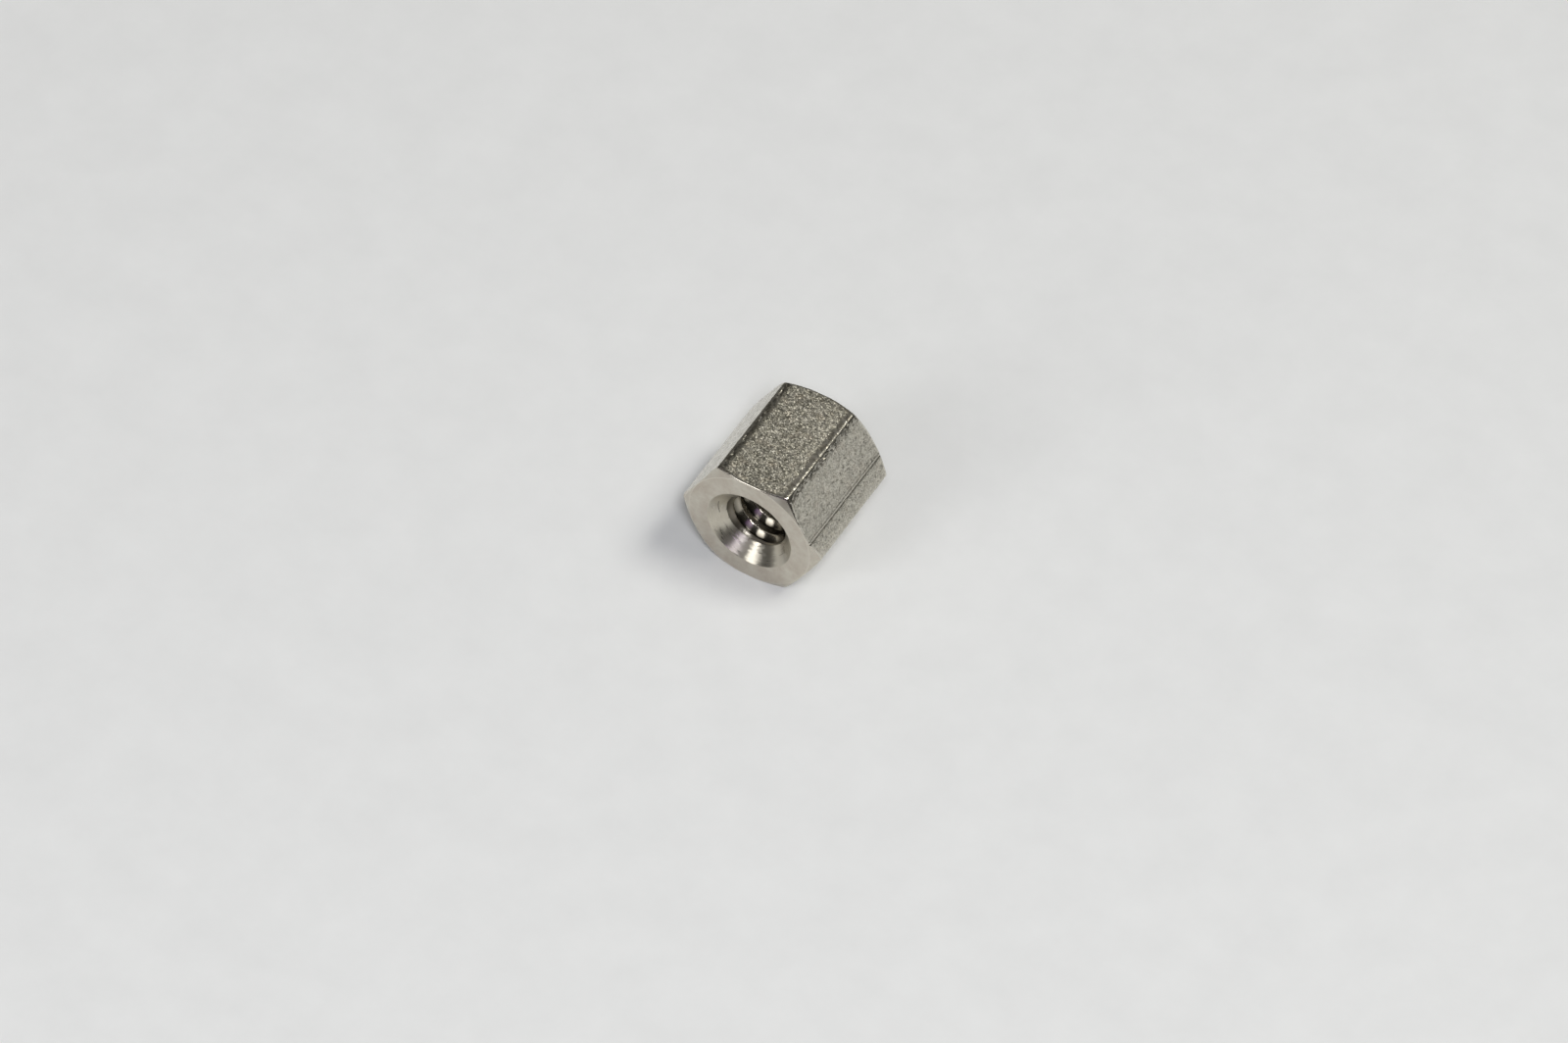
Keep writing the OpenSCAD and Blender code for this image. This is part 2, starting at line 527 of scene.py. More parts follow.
print(f"{len(FLAKES)} strips of flakes and {len(DIRT_AND_PAINTED_SHADE)} of dirt")


# %% Store them in the mesh
def store_round_bar(name, values):
    """Store a value for each point of the outline, the same along the whole bar, as an attribute."""
    closed = np.append(values, values[0])
    attribute = mesh.attributes.new(name, "FLOAT", "POINT")
    attribute.data.foreach_set("value", np.repeat(closed, around)[first].astype(np.float32))


store_round_bar("grain_left", grain_left)
store_round_bar("raggedness", np.where(outline[3] == LINE_SIDE, EVEN, RAGGED))
store_round_bar("flakes", strips(FLAKES))
store_round_bar("dirt", strips(DIRT_AND_PAINTED_SHADE))
store_round_bar("corner_stain", DARK_REFLECTION * bump_at(outline_turn, DARK_REFLECTION_TURN, DARK_REFLECTION_HALF_TURN))

front_edge = range(OUTER_STEPS + 1)
rear_edge = range(around - FLAT_ROWS - OUTER_STEPS, around - FLAT_ROWS + 1)
on_edge = np.isin(np.arange(around), [*front_edge, *rear_edge])
edge_attribute = mesh.attributes.new("burnished", "FLOAT", "POINT")
edge_attribute.data.foreach_set("value", np.tile(on_edge, columns)[first].astype(np.float32))
print([attribute.name for attribute in mesh.attributes])

# %% [markdown]
# ### Grain from tilted facets
#
# Noise through a Bump node gives round bumps, and this grain is made of small flat facets. A Voronoi texture
# splits the surface into cells and gives each a random colour. That colour, taken as an arrow and added to
# the surface's own direction, tilts the whole cell as one piece. It flashes on and off as the part turns, as
# frosted metal does.
#
# The real grain is about 0.02 to 0.1 mm. It is drawn in the coarse half of that, because finer facets would
# blur to an even grey. A second, larger set of cells, longer along the bar, makes the flakes.

# %% Wear: how much of the grain is kept
WEAR_PATCH = 0.22  # mm across the patches at the ragged edge of a worn strip
WORN_AWAY, WHOLE = 0.3, 1.2  # the ragged share at which the grain is gone, and at which it is whole

drawn, tree, place = new_material("drawn_tumbled_stainless_steel")
grain_share = add(tree, "ShaderNodeAttribute", attribute_name="grain_left").outputs["Fac"]
raggedness = add(tree, "ShaderNodeAttribute", attribute_name="raggedness").outputs["Fac"]
burnished = add(tree, "ShaderNodeAttribute", attribute_name="burnished").outputs["Fac"]
flaky = add(tree, "ShaderNodeAttribute", attribute_name="flakes").outputs["Fac"]
wear = add(tree, "ShaderNodeTexNoise", {"Vector": place, "Scale": 1 / WEAR_PATCH, "Detail": 3}).outputs["Fac"]
ragged = add(tree, "ShaderNodeMath", {0: wear, 1: raggedness, 2: grain_share}, operation="MULTIPLY_ADD")
off_edge = add(tree, "ShaderNodeMath", {0: ragged.outputs[0], 1: burnished}, operation="SUBTRACT")
grainy = add(
    tree, "ShaderNodeMapRange", {"Value": off_edge.outputs[0], "From Min": WORN_AWAY, "From Max": WHOLE}
).outputs[0]
print(f"worn edges are ragged by {WEAR_PATCH} mm")

# %% Facets and flakes
FACET, FACET_TILT = 0.055, 0.7  # mm across one facet, and how widely its arrow varies along each axis
FLAKE, FLAKE_TILT = 0.08, 0.35
TWICE_AS_LONG = (1, 0.5, 1)  # coordinates squeezed along the bar draw the flakes out
NO_TILT = (0.5, 0.5, 0.5)  # the colour halfway, which leaves a cell as it is

facets = add(tree, "ShaderNodeTexVoronoi", {"Vector": place, "Scale": 1 / FACET})
drawn_out = add(tree, "ShaderNodeVectorMath", {0: place, 1: TWICE_AS_LONG}, operation="MULTIPLY")
flakes = add(tree, "ShaderNodeTexVoronoi", {"Vector": drawn_out.outputs[0], "Scale": 1 / FLAKE})
lean = add(tree, "ShaderNodeNewGeometry").outputs["Normal"]
for cells, kept, tilt in ((facets, grainy, FACET_TILT), (flakes, flaky, FLAKE_TILT)):
    arrow = add(tree, "ShaderNodeVectorMath", {0: cells.outputs["Color"], 1: NO_TILT}, operation="SUBTRACT")
    length = add(tree, "ShaderNodeMath", {0: kept, 1: tilt}, operation="MULTIPLY")
    scaled = add(
        tree, "ShaderNodeVectorMath", {0: arrow.outputs[0], "Scale": length.outputs[0]}, operation="SCALE"
    )
    lean = add(tree, "ShaderNodeVectorMath", {0: lean, 1: scaled.outputs[0]}, operation="ADD").outputs[0]
tilted = add(tree, "ShaderNodeVectorMath", {0: lean}, operation="NORMALIZE")
print(f"facets {FACET} mm, flakes {FLAKE} mm")

# %% Fine bumps and the marks of the die
FINE_GRAIN, FINE_HEIGHT = 0.04, 0.002  # mm between the finest bumps, and their height in mm
DRAW_MARK, DRAW_HEIGHT = 0.05, 0.0015  # mm between the marks along the bar, and their height in mm
MUCH_LONGER = (1, 0.03, 1)  # a mark is about thirty times longer than wide

fine = add(tree, "ShaderNodeTexNoise", {"Vector": place, "Scale": 1 / FINE_GRAIN, "Detail": 1.5})
along = add(tree, "ShaderNodeVectorMath", {0: place, 1: MUCH_LONGER}, operation="MULTIPLY")
marks = add(tree, "ShaderNodeTexNoise", {"Vector": along.outputs[0], "Scale": 1 / DRAW_MARK, "Detail": 2})
mark_height = add(tree, "ShaderNodeMath", {0: marks.outputs["Fac"], 1: DRAW_HEIGHT}, operation="MULTIPLY")
height = add(
    tree,
    "ShaderNodeMath",
    {0: fine.outputs["Fac"], 1: FINE_HEIGHT, 2: mark_height.outputs[0]},
    operation="MULTIPLY_ADD",
)
bump = add(tree, "ShaderNodeBump", {"Height": height.outputs[0], "Distance": MM, "Normal": tilted.outputs[0]})
print(f"{len(tree.nodes)} nodes so far")

# %% [markdown]
# ### Colour of the drawn bar
#
# The same random colours that tilt the facets make one a little darker than the next. Over that lie patches
# with a warmer tint, and clouds a few facets wide where the drum has rubbed the metal paler. Where a side is
# worn evenly an even haze stands in for the clouds. Darker marks come last, on top of the metal: dirt in the
# faint lines, painted shade in the groove of the die line and a painted darker reflection in the worn strips.

# %% A tone for each facet and flake
PALER_FLAKES = 0.3  # how much paler a flake is than a facet

facet_tone = add(tree, "ShaderNodeSeparateColor", {"Color": facets.outputs["Color"]})
flake_tone = add(tree, "ShaderNodeSeparateColor", {"Color": flakes.outputs["Color"]})
tone = add(
    tree,
    "ShaderNodeMix",
    {0: flaky, 2: facet_tone.outputs[0], 3: flake_tone.outputs[0]},
    data_type="FLOAT",
)
paler = add(
    tree, "ShaderNodeMath", {0: flaky, 1: PALER_FLAKES, 2: tone.outputs[0]}, operation="MULTIPLY_ADD"
)
grain_colour = add(
    tree,
    "ShaderNodeMix",
    {0: paler.outputs[0], 6: linear("#706D5F"), 7: linear("#C5C1B1")},
    data_type="RGBA",
)
print(f"flakes are up to {PALER_FLAKES} paler")

# %% Warm patches
WARM_PATCHES = 2.2  # to a millimetre
WARM_FROM, WARM_FULL, WARMEST = 0.5, 0.75, 0.5  # noise where the warmth starts and is full, and its strength

warm_patches = add(tree, "ShaderNodeTexNoise", {"Vector": place, "Scale": WARM_PATCHES, "Detail": 3})
warmth = add(
    tree,
    "ShaderNodeMapRange",
    {"Value": warm_patches.outputs["Fac"], "From Min": WARM_FROM, "From Max": WARM_FULL, "To Max": WARMEST},
)
tinted = add(
    tree,
    "ShaderNodeMix",
    {0: warmth.outputs[0], 6: grain_colour.outputs[2], 7: linear("#BCAF9B")},
    data_type="RGBA",
)
print(f"warm patches {1 / WARM_PATCHES:.2f} mm across")

# %% Pale clouds
CLOUD = 0.24  # mm across
CLOUD_FROM, CLOUD_FULL = 0.4, 0.6  # noise where a cloud starts and is full
HAZE = 0.58  # strength of the even haze
PALE_WORN, PALE_GRAIN = 0.97, 0.32  # strength of both on worn metal, and where enough grain is left
ENOUGH_GRAIN = 0.6

clouds = add(tree, "ShaderNodeTexNoise", {"Vector": place, "Scale": 1 / CLOUD, "Detail": 2})
cloudy = add(
    tree,
    "ShaderNodeMapRange",
    {"Value": clouds.outputs["Fac"], "From Min": CLOUD_FROM, "From Max": CLOUD_FULL},
)
hazy = add(tree, "ShaderNodeMix", {0: raggedness, 2: HAZE, 3: cloudy.outputs[0]}, data_type="FLOAT")
strongest = add(
    tree,
    "ShaderNodeMapRange",
    {"Value": grainy, "From Max": ENOUGH_GRAIN, "To Min": PALE_WORN, "To Max": PALE_GRAIN},
)
pale = add(tree, "ShaderNodeMath", {0: hazy.outputs[0], 1: strongest.outputs[0]}, operation="MULTIPLY")
clouded = add(
    tree, "ShaderNodeMix", {0: pale.outputs[0], 6: tinted.outputs[2], 7: linear("#ECE8DE")}, data_type="RGBA"
)
print(f"clouds {CLOUD} mm across")

# %% Dirt in faint lines, painted shade in the die line's groove, painted darker reflection in the worn strips
DIRT_AND_SHADE_FROM, DIRT_AND_SHADE_FULL, LEAST_DIRT_AND_SHADE = 0.3, 0.6, 0.4  # noise where the dirt and painted shade thicken and are full, and their least share

# Darker colour: dirt in faint lines, painted shade in the die line's groove, painted darker reflection in the
# worn strips.
dirt = add(tree, "ShaderNodeAttribute", attribute_name="dirt")
patchy_dirt_and_shade = add(
    tree,
    "ShaderNodeMapRange",
    {"Value": wear, "From Min": DIRT_AND_SHADE_FROM, "From Max": DIRT_AND_SHADE_FULL, "To Min": LEAST_DIRT_AND_SHADE},
)
dirt_and_shade_share = add(tree, "ShaderNodeMath", {0: dirt.outputs["Fac"], 1: patchy_dirt_and_shade.outputs[0]}, operation="MULTIPLY")
colour = add(
    tree,
    "ShaderNodeMix",
    {0: dirt_and_shade_share.outputs[0], 6: clouded.outputs[2], 7: linear("#4A473E")},
    data_type="RGBA",
)
print(f"at least {LEAST_DIRT_AND_SHADE} of the dirt shows")

# %% Roughness and shader of the drawn bar
POLISHED, FROSTED = 0.22, 0.62  # roughness where the grain is gone and where it is whole

rough = add(tree, "ShaderNodeMapRange", {"Value": grainy, "To Min": POLISHED, "To Max": FROSTED})
shader = add(
    tree,
    "ShaderNodeBsdfPrincipled",
    {
        "Base Color": colour.outputs[2],
        "Metallic": 1.0,
        "Roughness": rough.outputs[0],
        "Normal": bump.outputs[0],
    },
)
add(tree, "ShaderNodeOutputMaterial", {"Surface": shader.outputs[0]})
print(f"{drawn.name}: {len(tree.nodes)} nodes")

# %% [markdown]
# ## Marks that run round the bore
#
# A lathe tool, a countersink and a tap all leave marks that run round the axis. They need a pattern that
# changes quickly across the marks and slowly along them. The direction from the axis, as a unit vector,
# changes along a mark, and the distance from the axis changes across it. So a Noise texture is given the
# direction made small plus the distance in full, and its blobs are drawn out into arcs.

# %% Coordinates that run round the bore
AXIS_PLACE = (0, 0, flat_radius)
ACROSS_AXIS = (1, 0, 1)


def round_the_bore(tree, place, stretch, climb=0.0):
    """Coordinates for marks `stretch` times longer than wide at the mouth, and the distance from the axis.

    `climb` adds the place along the bore to them.
    """
    from_axis = add(tree, "ShaderNodeVectorMath", {0: place, 1: AXIS_PLACE}, operation="SUBTRACT")
    outward = add(
        tree, "ShaderNodeVectorMath", {0: from_axis.outputs[0], 1: ACROSS_AXIS}, operation="MULTIPLY"
    )
    direction = add(tree, "ShaderNodeVectorMath", {0: outward.outputs[0]}, operation="NORMALIZE")
    distance = add(tree, "ShaderNodeVectorMath", {0: outward.outputs[0]}, operation="LENGTH").outputs["Value"]
    along = add(tree, "ShaderNodeSeparateXYZ", {0: place}).outputs["Y"]
    across = add(tree, "ShaderNodeMath", {0: along, 1: climb, 2: distance}, operation="MULTIPLY_ADD")
    squeezed = add(
        tree,
        "ShaderNodeVectorMath",
        {0: direction.outputs[0], "Scale": mouth_radius / stretch},
        operation="SCALE",
    )
    step = add(tree, "ShaderNodeCombineXYZ", {"Y": across.outputs[0]})
    coordinates = add(
        tree, "ShaderNodeVectorMath", {0: squeezed.outputs[0], 1: step.outputs[0]}, operation="ADD"
    )
    return coordinates.outputs[0], distance


print(f"marks are measured at the mouth, {mouth_radius:.2f} mm from the axis")

# %% [markdown]
# ## Turned ends
#
# The end faces and the corner chamfers were cut on a lathe and then tumbled with the rest. A facing tool
# leaves a very fine spiral, which reads as faint rings round the axis. Tumbling dulls it to a satin that
# mirrors only soft light and dark, so the roughness is about 0.4 and the heights are small. Edges stand out,
# so the drum has burnished the outer edges almost to a mirror and made the edge of the face less rough. Along
# that edge a thin pale line is a painted highlight. One corner's chamfer, the one beside the worn strip, is
# painted a little darker, a painted dark reflection.
#
# The rings, the line and the chamfers all lie at their own distance from the axis. So the material works out
# that distance and needs no painted mask. The rings are drawn about twice as coarse as a fine feed, so that
# they show.

# %% Turned ends: rings and satin
RING, RING_HEIGHT = 0.05, 0.0012  # mm between turning marks, and their height in mm
RING_STRETCH = 22
SATIN_GRAIN, SATIN_HEIGHT = 0.05, 0.0018

turned, tree, place = new_material("turned_satin_stainless_steel")
ring_place, distance = round_the_bore(tree, place, stretch=RING_STRETCH)
rings = add(tree, "ShaderNodeTexNoise", {"Vector": ring_place, "Scale": 1 / RING, "Detail": 2}).outputs["Fac"]
satin = add(tree, "ShaderNodeTexNoise", {"Vector": place, "Scale": 1 / SATIN_GRAIN, "Detail": 2})
ring_height = add(tree, "ShaderNodeMath", {0: rings, 1: RING_HEIGHT}, operation="MULTIPLY")
height = add(
    tree,
    "ShaderNodeMath",
    {0: satin.outputs["Fac"], 1: SATIN_HEIGHT, 2: ring_height.outputs[0]},
    operation="MULTIPLY_ADD",
)
bump = add(tree, "ShaderNodeBump", {"Height": height.outputs[0], "Distance": MM})
print(f"rings {RING} mm")

# %% Turned ends: colour
SMUDGE = 0.7  # mm across the largest smudges
RIM_HALF_WIDTH = 0.025  # mm, of the pale line where the face ends, a painted highlight

smudges = add(
    tree, "ShaderNodeTexNoise", {"Vector": place, "Scale": 1 / SMUDGE, "Detail": 6, "Roughness": 0.65}
)
smudged = add(
    tree,
    "ShaderNodeMapRange",
    {"Value": smudges.outputs["Fac"], "From Min": NOISE_LOW, "From Max": NOISE_HIGH},
)
satin_colour = add(
    tree,
    "ShaderNodeMix",
    {0: smudged.outputs[0], 6: linear("#BDB3A6"), 7: linear("#D3CFC3")},
    data_type="RGBA",
)
# The thin pale line where the face ends is a painted highlight, and it is also less rough.
highlight_rim = add(tree, "ShaderNodeMath", {0: distance, 1: face_radius, 2: RIM_HALF_WIDTH}, operation="COMPARE")
line = add(
    tree,
    "ShaderNodeMix",
    {0: highlight_rim.outputs[0], 6: satin_colour.outputs[2], 7: linear("#D2CCC0")},
    data_type="RGBA",
)
# One corner's chamfer is painted darker: a painted dark reflection.
on_chamfer = add(
    tree, "ShaderNodeMath", {0: distance, 1: face_radius + RIM_HALF_WIDTH}, operation="GREATER_THAN"
)
dark_reflection = add(tree, "ShaderNodeAttribute", attribute_name="corner_stain")
reflection_darkened = add(
    tree, "ShaderNodeMath", {0: dark_reflection.outputs["Fac"], 1: on_chamfer.outputs[0]}, operation="MULTIPLY"
)
colour = add(
    tree, "ShaderNodeMix", {0: reflection_darkened.outputs[0], 6: line.outputs[2], 7: linear("#6A665C")}, data_type="RGBA"
)
print(f"smudges {SMUDGE} mm")

# %% Turned ends: roughness and shader
SATIN_LEAST, SATIN_MOST = 0.36, 0.46
RIM_ROUGHNESS, EDGE_ROUGHNESS = 0.33, 0.2

satin_rough = add(
    tree,
    "ShaderNodeMapRange",
    {
        "Value": rings,
        "From Min": NOISE_LOW,
        "From Max": NOISE_HIGH,
        "To Min": SATIN_LEAST,
        "To Max": SATIN_MOST,
    },
)
face_rough = add(
    tree, "ShaderNodeMix", {0: highlight_rim.outputs[0], 2: satin_rough.outputs[0], 3: RIM_ROUGHNESS}, data_type="FLOAT"
)
burnished = add(tree, "ShaderNodeAttribute", attribute_name="burnished").outputs["Fac"]
rough = add(
    tree, "ShaderNodeMix", {0: burnished, 2: face_rough.outputs[0], 3: EDGE_ROUGHNESS}, data_type="FLOAT"
)
shader = add(
    tree,
    "ShaderNodeBsdfPrincipled",
    {
        "Base Color": colour.outputs[2],
        "Metallic": 1.0,
        "Roughness": rough.outputs[0],
        "Normal": bump.outputs[0],
    },
)
add(tree, "ShaderNodeOutputMaterial", {"Surface": shader.outputs[0]})
print(f"{turned.name}: {len(tree.nodes)} nodes")

# %% [markdown]
# ## Countersunk mouths
#
# The countersinks were cut last, and nothing in the tumbling drum reached into them, so they are the
# brightest surface on the part. The cutter's rings are too fine to see, but together they spread a reflection
# across themselves, into streaks that run down the cone. Anisotropic does that on the Principled shader, with
# a Tangent that goes round the bore.
#
# The streaks have combed edges, because each ring wanders a little to one side or the other. Bump would
# hardly show that, as a ring's height changes across it and not along it. So each ring leans the surface's
# direction along the tangent, by an amount taken from the same ring pattern that gives the bump.
#
# Something sharp has scratched the left of the front cone, and dirt has filled the scratch. It is a thin dark
# line in the colour, found from the distance to the axis and the angle round it.

# %% Countersunk mouths: the cutter's rings
FEED = 0.045  # mm between rings of the cutter's feed
FEED_STRETCH = 16
CHATTER_HEIGHT = 0.003
SWAY = 0.055  # radians that a ring leans to either side along itself

bright, tree, place = new_material("countersunk_bright_stainless_steel")
ring_place, distance = round_the_bore(tree, place, stretch=FEED_STRETCH)
chatter = add(
    tree, "ShaderNodeTexNoise", {"Vector": ring_place, "Scale": 1 / FEED, "Detail": 2}
).outputs["Fac"]
height = add(tree, "ShaderNodeMath", {0: chatter, 1: CHATTER_HEIGHT}, operation="MULTIPLY")
tangent = add(tree, "ShaderNodeTangent", direction_type="RADIAL", axis="Y").outputs[0]
sway = add(
    tree,
    "ShaderNodeMapRange",
    {"Value": chatter, "From Min": NOISE_LOW, "From Max": NOISE_HIGH, "To Min": -SWAY, "To Max": SWAY},
)
swayed = add(tree, "ShaderNodeVectorMath", {0: tangent, "Scale": sway.outputs[0]}, operation="SCALE")
facing = add(tree, "ShaderNodeNewGeometry").outputs["Normal"]
leaning = add(tree, "ShaderNodeVectorMath", {0: facing, 1: swayed.outputs[0]}, operation="ADD")
combed = add(tree, "ShaderNodeVectorMath", {0: leaning.outputs[0]}, operation="NORMALIZE")
bump = add(tree, "ShaderNodeBump", {"Height": height.outputs[0], "Distance": MM, "Normal": combed.outputs[0]})
print(f"feed {FEED} mm")

# %% Countersunk mouths: the scratch
SCRATCH_HALF_WIDTH = 0.011  # mm
SCRATCH_MIDDLE, SCRATCH_HALF_TURN = math.radians(-7), math.radians(14)  # above and below the left side
SCRATCH_RADIUS, SCRATCH_SLANT = 1.81, 0.235  # mm from the axis at the left side, and mm inwards a radian

here = add(tree, "ShaderNodeSeparateXYZ", {0: place})
left = add(tree, "ShaderNodeMath", {0: here.outputs["X"], 1: -1.0}, operation="MULTIPLY")
below = add(tree, "ShaderNodeMath", {0: flat_radius, 1: here.outputs["Z"]}, operation="SUBTRACT")
turn = add(tree, "ShaderNodeMath", {0: below.outputs[0], 1: left.outputs[0]}, operation="ARCTAN2").outputs[0]
straightened = add(tree, "ShaderNodeMath", {0: turn, 1: SCRATCH_SLANT, 2: distance}, operation="MULTIPLY_ADD")
on_line = add(
    tree,
    "ShaderNodeMath",
    {0: straightened.outputs[0], 1: SCRATCH_RADIUS, 2: SCRATCH_HALF_WIDTH},
    operation="COMPARE",
)
in_reach = add(
    tree, "ShaderNodeMath", {0: turn, 1: SCRATCH_MIDDLE, 2: SCRATCH_HALF_TURN}, operation="COMPARE"
)
in_front = add(tree, "ShaderNodeMath", {0: here.outputs["Y"], 1: 0.0}, operation="LESS_THAN")
short_line = add(
    tree, "ShaderNodeMath", {0: on_line.outputs[0], 1: in_reach.outputs[0]}, operation="MULTIPLY"
)
scratched = add(
    tree, "ShaderNodeMath", {0: short_line.outputs[0], 1: in_front.outputs[0]}, operation="MULTIPLY"
)
print(f"scratch {2 * SCRATCH_HALF_WIDTH:.3f} mm wide")

# %% Countersunk mouths: colour, roughness and shader
DULLER_PATCHES = 1.8  # to a millimetre
BRIGHT_LEAST, BRIGHT_MOST = 0.26, 0.35  # roughness
STREAKED = 0.65  # how strongly the rings draw a reflection out
ACROSS_TANGENT = 0.25  # of a turn, which draws it out across the tangent

patches = add(tree, "ShaderNodeTexNoise", {"Vector": place, "Scale": DULLER_PATCHES, "Detail": 3})
clean = add(
    tree,
    "ShaderNodeMix",
    {0: patches.outputs["Fac"], 6: linear("#BDB6A7"), 7: linear("#D1CCBF")},
    data_type="RGBA",
)
colour = add(
    tree,
    "ShaderNodeMix",
    {0: scratched.outputs[0], 6: clean.outputs[2], 7: linear("#57534A")},
    data_type="RGBA",
)
rough = add(
    tree,
    "ShaderNodeMapRange",
    {
        "Value": chatter,
        "From Min": NOISE_LOW,
        "From Max": NOISE_HIGH,
        "To Min": BRIGHT_LEAST,
        "To Max": BRIGHT_MOST,
    },
)
shader = add(
    tree,
    "ShaderNodeBsdfPrincipled",
    {
        "Base Color": colour.outputs[2],
        "Metallic": 1.0,
        "Roughness": rough.outputs[0],
        "Anisotropic": STREAKED,
        "Anisotropic Rotation": ACROSS_TANGENT,
        "Normal": bump.outputs[0],
        "Tangent": tangent,
    },
)
add(tree, "ShaderNodeOutputMaterial", {"Surface": shader.outputs[0]})
print(f"{bright.name}: {len(tree.nodes)} nodes")

# %% [markdown]
# ## Tapped thread
#
# A tap makes the groove in one pass, with oil, and burnishes the flanks as it slides past. So the thread is
# glossy, with fine scratches that run round with the cut and spread reflections as on the cone. Its colour
# darkens from the crests into the roots, a painted shade of the deep groove. The tap only drags over the
# crests and the lip at each mouth, and tears them a little, so they are speckled and the lip is duller. A
# flank slopes both outwards and along the bore, so the scratches are read by the distance from the axis and
# the place along it together.

# %% Tapped thread: scratches, and torn crests and lips
SCRATCH, SCRATCH_HEIGHT, SCRATCH_STRETCH = 0.03, 0.0005, 15  # mm between scratches, and their height in mm
TEAR = 0.06  # mm across the torn spots
TEAR_HEIGHT, LIP_TEAR_HEIGHT = 0.03, 0.008  # mm, on a crest and at the lip
TORN_DEPTH = 0.012  # mm below the crests that are still torn
LIP_DEPTH = mouth_radius - LIP_RADIUS
LIP_WIDTH, LIP_FADE = 0.2, 0.05  # mm further in that the tears reach in full, and then fade over

tapped, tree, place = new_material("tapped_glossy_stainless_steel")
scratch_place, distance = round_the_bore(tree, place, stretch=SCRATCH_STRETCH, climb=1.0)
scratches = add(tree, "ShaderNodeTexNoise", {"Vector": scratch_place, "Scale": 1 / SCRATCH, "Detail": 2})
torn = add(tree, "ShaderNodeTexNoise", {"Vector": place, "Scale": 1 / TEAR, "Detail": 1})
on_crest = add(
    tree,
    "ShaderNodeMapRange",
    {
        "Value": distance,
        "From Min": crest_radius + TORN_DEPTH,
        "From Max": crest_radius,
        "To Max": TEAR_HEIGHT,
    },
)
here = add(tree, "ShaderNodeSeparateXYZ", {0: place})
from_middle = add(tree, "ShaderNodeMath", {0: here.outputs["Y"]}, operation="ABSOLUTE")
at_lip = add(
    tree,
    "ShaderNodeMapRange",
    {
        "Value": from_middle.outputs[0],
        "From Min": half_length - LIP_DEPTH - LIP_WIDTH - LIP_FADE,
        "From Max": half_length - LIP_DEPTH - LIP_WIDTH,
        "To Max": LIP_TEAR_HEIGHT,
    },
).outputs[0]
torn_height = add(tree, "ShaderNodeMath", {0: on_crest.outputs[0], 1: at_lip}, operation="MAXIMUM")
tears = add(tree, "ShaderNodeMath", {0: torn.outputs["Fac"], 1: torn_height.outputs[0]}, operation="MULTIPLY")
height = add(
    tree,
    "ShaderNodeMath",
    {0: scratches.outputs["Fac"], 1: SCRATCH_HEIGHT, 2: tears.outputs[0]},
    operation="MULTIPLY_ADD",
)
bump = add(tree, "ShaderNodeBump", {"Height": height.outputs[0], "Distance": MM})
print(f"scratches {SCRATCH} mm")

# %% Tapped thread: colour, roughness and shader
ROOT_SHADE_FROM = 0.08  # mm below the crests where the painted shade starts
GLOSSY, LIP_ROUGHNESS = 0.18, 0.34
DRAWN_OUT = 0.8  # how strongly the scratches draw a reflection out

# Painted shade: the colour darkens from the crests into the roots.
root_shade = add(
    tree,
    "ShaderNodeMapRange",
    {"Value": distance, "From Min": crest_radius + ROOT_SHADE_FROM, "From Max": root_radius},
)
colour = add(
    tree,
    "ShaderNodeMix",
    {0: root_shade.outputs[0], 6: linear("#A8A295"), 7: linear("#423E35")},
    data_type="RGBA",
)
rough = add(
    tree,
    "ShaderNodeMapRange",
    {"Value": at_lip, "From Max": LIP_TEAR_HEIGHT, "To Min": GLOSSY, "To Max": LIP_ROUGHNESS},
)
shader = add(
    tree,
    "ShaderNodeBsdfPrincipled",
    {
        "Base Color": colour.outputs[2],
        "Metallic": 1.0,
        "Roughness": rough.outputs[0],
        "Anisotropic": DRAWN_OUT,
        "Anisotropic Rotation": ACROSS_TANGENT,
        "Normal": bump.outputs[0],
        "Tangent": add(tree, "ShaderNodeTangent", direction_type="RADIAL", axis="Y").outputs[0],
    },
)
add(tree, "ShaderNodeOutputMaterial", {"Surface": shader.outputs[0]})
print(f"{tapped.name}: {len(tree.nodes)} nodes")

# %% Give each surface its material
for material in (drawn, turned, bright, tapped):
    mesh.materials.append(material)
print([material.name for material in mesh.materials])

# %% [markdown]
# ## The floor
#
# The part lies on a sheet of plain pale paper. A large disc stands in for it, so that no edge shows from any
# side. Its material has the faint mottling of paper, and it takes the part's shadow.

# %% Floor disc
FLOOR_RADIUS = 3.0  # m
FLOOR_DROP = 1e-6  # m under the part, so that the two surfaces don't share a plane
FLOOR_SIDES = 96

floor_turns = np.linspace(0, 2 * math.pi, FLOOR_SIDES + 1)[:-1]
disc = [(FLOOR_RADIUS * math.cos(a), FLOOR_RADIUS * math.sin(a), -FLOOR_DROP) for a in floor_turns]
floor_mesh = bpy.data.meshes.new("paper_floor")
floor_mesh.from_pydata(disc, [], [list(range(len(disc)))])
floor = bpy.data.objects.new("paper_floor", floor_mesh)
bpy.context.scene.collection.objects.link(floor)
print(f"{floor.name}: {2 * FLOOR_RADIUS:.0f} m across")

# %% Uncoated paper
MOTTLES = 0.35  # to a millimetre, where a sheet's real mottling is about this coarse

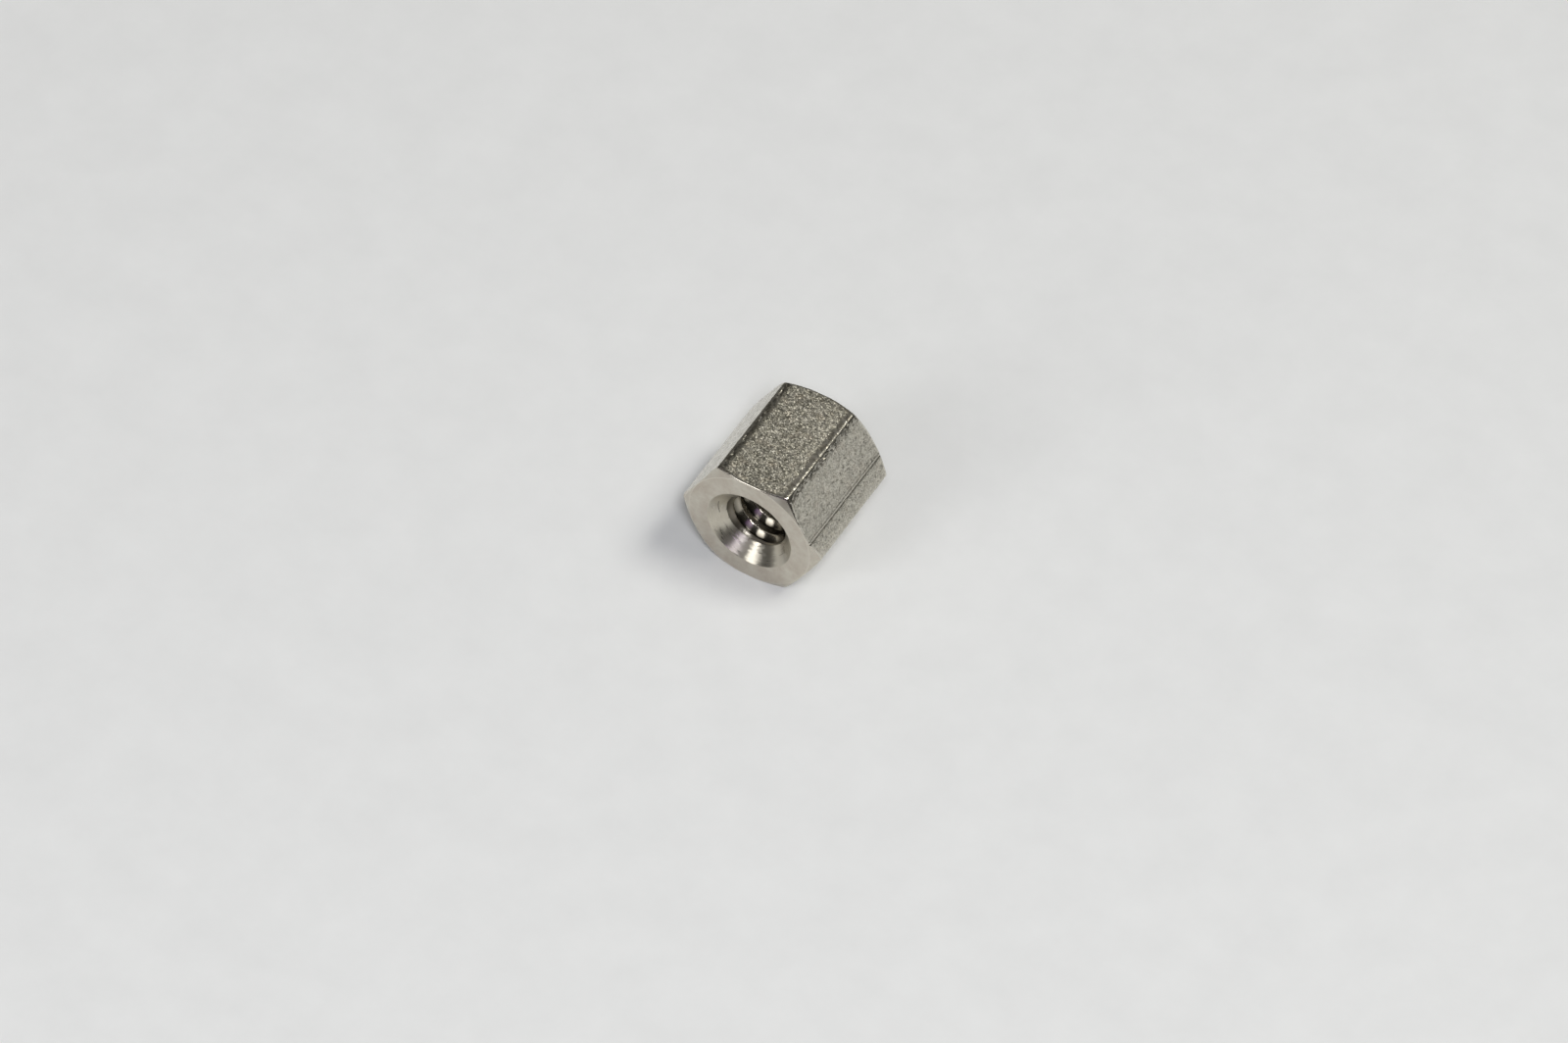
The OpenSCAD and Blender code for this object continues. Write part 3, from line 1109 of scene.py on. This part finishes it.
paper, tree, place = new_material("uncoated_paper")
mottle = add(tree, "ShaderNodeTexNoise", {"Vector": place, "Scale": MOTTLES, "Detail": 6, "Roughness": 0.6})
colour = add(
    tree,
    "ShaderNodeMix",
    {0: mottle.outputs["Fac"], 6: linear("#E4E5E4"), 7: linear("#EFF0EF")},
    data_type="RGBA",
)
shader = add(tree, "ShaderNodeBsdfPrincipled", {"Base Color": colour.outputs[2], "Roughness": 0.9})
add(tree, "ShaderNodeOutputMaterial", {"Surface": shader.outputs[0]})
floor_mesh.materials.append(paper)
print(f"{paper.name}: {len(tree.nodes)} nodes")

# %% [markdown]
# ## The light
#
# Metal shows its surroundings, so the lamps are placed for what they look like in it as much as for how they
# light the paper. One soft lamp stands high on the right and one beside the camera, and between them they
# light the paper almost evenly. A third, tall and low in front on the left, is what the countersink and the
# thread mirror as white bands. Two faint lilac cards low in front give the violet sheen beside those bands.
# Everything else is a dim room, darker in front and brighter behind and overhead, which gives the dark parts
# of each reflection. Area lamps are used because their edges are as soft as a real softbox's.
#
# A lamp's power is worked out from how much of the light on the paper it should give. The shares and the
# room's add up to about 1, at which white paper comes out white.

# %% Lamps
def softbox(name, turn, height, distance, width, depth, share, colour):
    """A lamp that faces the part, `turn` degrees clockwise from +Y and `height` degrees above the floor.

    Its distance, width and depth are in metres. Its share is of the light on the paper.
    """
    data = bpy.data.lights.new(name, "AREA")
    data.shape = "ELLIPSE"
    data.size, data.size_y = width, depth
    data.energy = share * (math.pi * distance) ** 2 / math.sin(math.radians(height))
    data.color = linear(colour)[:3]
    made = bpy.data.objects.new(name, data)
    made.rotation_euler = (math.radians(90 - height), 0, math.radians(180 - turn))
    made.location = Vector((0, 0, distance))
    made.location.rotate(made.rotation_euler)
    made.visible_camera = False
    bpy.context.scene.collection.objects.link(made)
    return made


lamps = [  # name, turn, height, distance, width, depth, share and colour
    softbox("right_softbox", 64, 60, 0.80, 0.32, 0.32, 0.36, "#FFFDF6"),
    softbox("camera_softbox", 146, 53, 0.55, 0.13, 0.13, 0.345, "#F6F8FF"),
    softbox("lilac_card", 163.5, 28, 0.60, 0.20, 0.20, 0.0062, "#D2A4F8"),
    softbox("low_lilac_card", 173, 6, 0.60, 0.08, 0.10, 0.0002, "#D9C4FF"),
    softbox("front_softbox", -155, 28, 0.60, 0.21, 0.42, 0.099, "#FBFBFD"),
]
for lamp in lamps:
    print(lamp.name, "at", [round(c, 2) for c in lamp.location], "m,", round(lamp.data.energy, 2), "W")

# %% The dim room
FRONT_GLOW, BACK_GLOW = 0.04, 0.18  # strength of the background
BRIGHT_SIDE = (0, 0.5, 0.87)  # behind and overhead

world = bpy.data.worlds.new("dim_room")
bpy.context.scene.world = world
world.use_nodes = True
tree = world.node_tree
tree.nodes.clear()
look = add(tree, "ShaderNodeTexCoord")
towards = add(
    tree, "ShaderNodeVectorMath", {0: look.outputs["Generated"], 1: BRIGHT_SIDE}, operation="DOT_PRODUCT"
)
glow = add(
    tree,
    "ShaderNodeMapRange",
    {"Value": towards.outputs["Value"], "To Min": FRONT_GLOW, "To Max": BACK_GLOW},
)
background = add(tree, "ShaderNodeBackground", {"Color": linear("#FFFCF6"), "Strength": glow.outputs[0]})
add(tree, "ShaderNodeOutputWorld", {"Surface": background.outputs[0]})
print(f"room glows {FRONT_GLOW} in front and {BACK_GLOW} behind and overhead")

# %% [markdown]
# ## The camera
#
# The part is seen from above and to its right through a long lens, from half a metre away. A long lens keeps
# the two ends of the part almost the same size. The camera is turned slightly about its own view and moved a
# little sideways, which frames the part without shifting the lens.

# %% Camera
AZIMUTH, ELEVATION, ROLL = math.radians(29.53), math.radians(50.26), math.radians(1.565)
DISTANCE = 511.9 * MM
ASIDE, BELOW = 0.044 * MM, 1.656 * MM
LENS, SENSOR_WIDTH = 260.2, 36  # mm
NEAREST, FARTHEST = 0.01, 20  # m

back = Vector(
    (math.sin(AZIMUTH) * math.cos(ELEVATION), -math.cos(AZIMUTH) * math.cos(ELEVATION), math.sin(ELEVATION))
)
level = Vector((math.cos(AZIMUTH), math.sin(AZIMUTH), 0))
upright = back.cross(level)
right = math.cos(ROLL) * level + math.sin(ROLL) * upright
up = math.cos(ROLL) * upright - math.sin(ROLL) * level

camera_data = bpy.data.cameras.new("camera")
camera_data.sensor_width = SENSOR_WIDTH
camera_data.lens = LENS
camera_data.clip_start, camera_data.clip_end = NEAREST, FARTHEST
camera = bpy.data.objects.new("camera", camera_data)
stand = Vector((0, 0, flat_radius * MM)) + back * DISTANCE - right * ASIDE - up * BELOW
camera.matrix_world = Matrix.Translation(stand) @ Matrix((right, up, back)).transposed().to_4x4()
bpy.context.scene.collection.objects.link(camera)
bpy.context.scene.camera = camera
bpy.context.scene.view_settings.view_transform = "Standard"
print("camera at", [round(c, 3) for c in stand], "m")
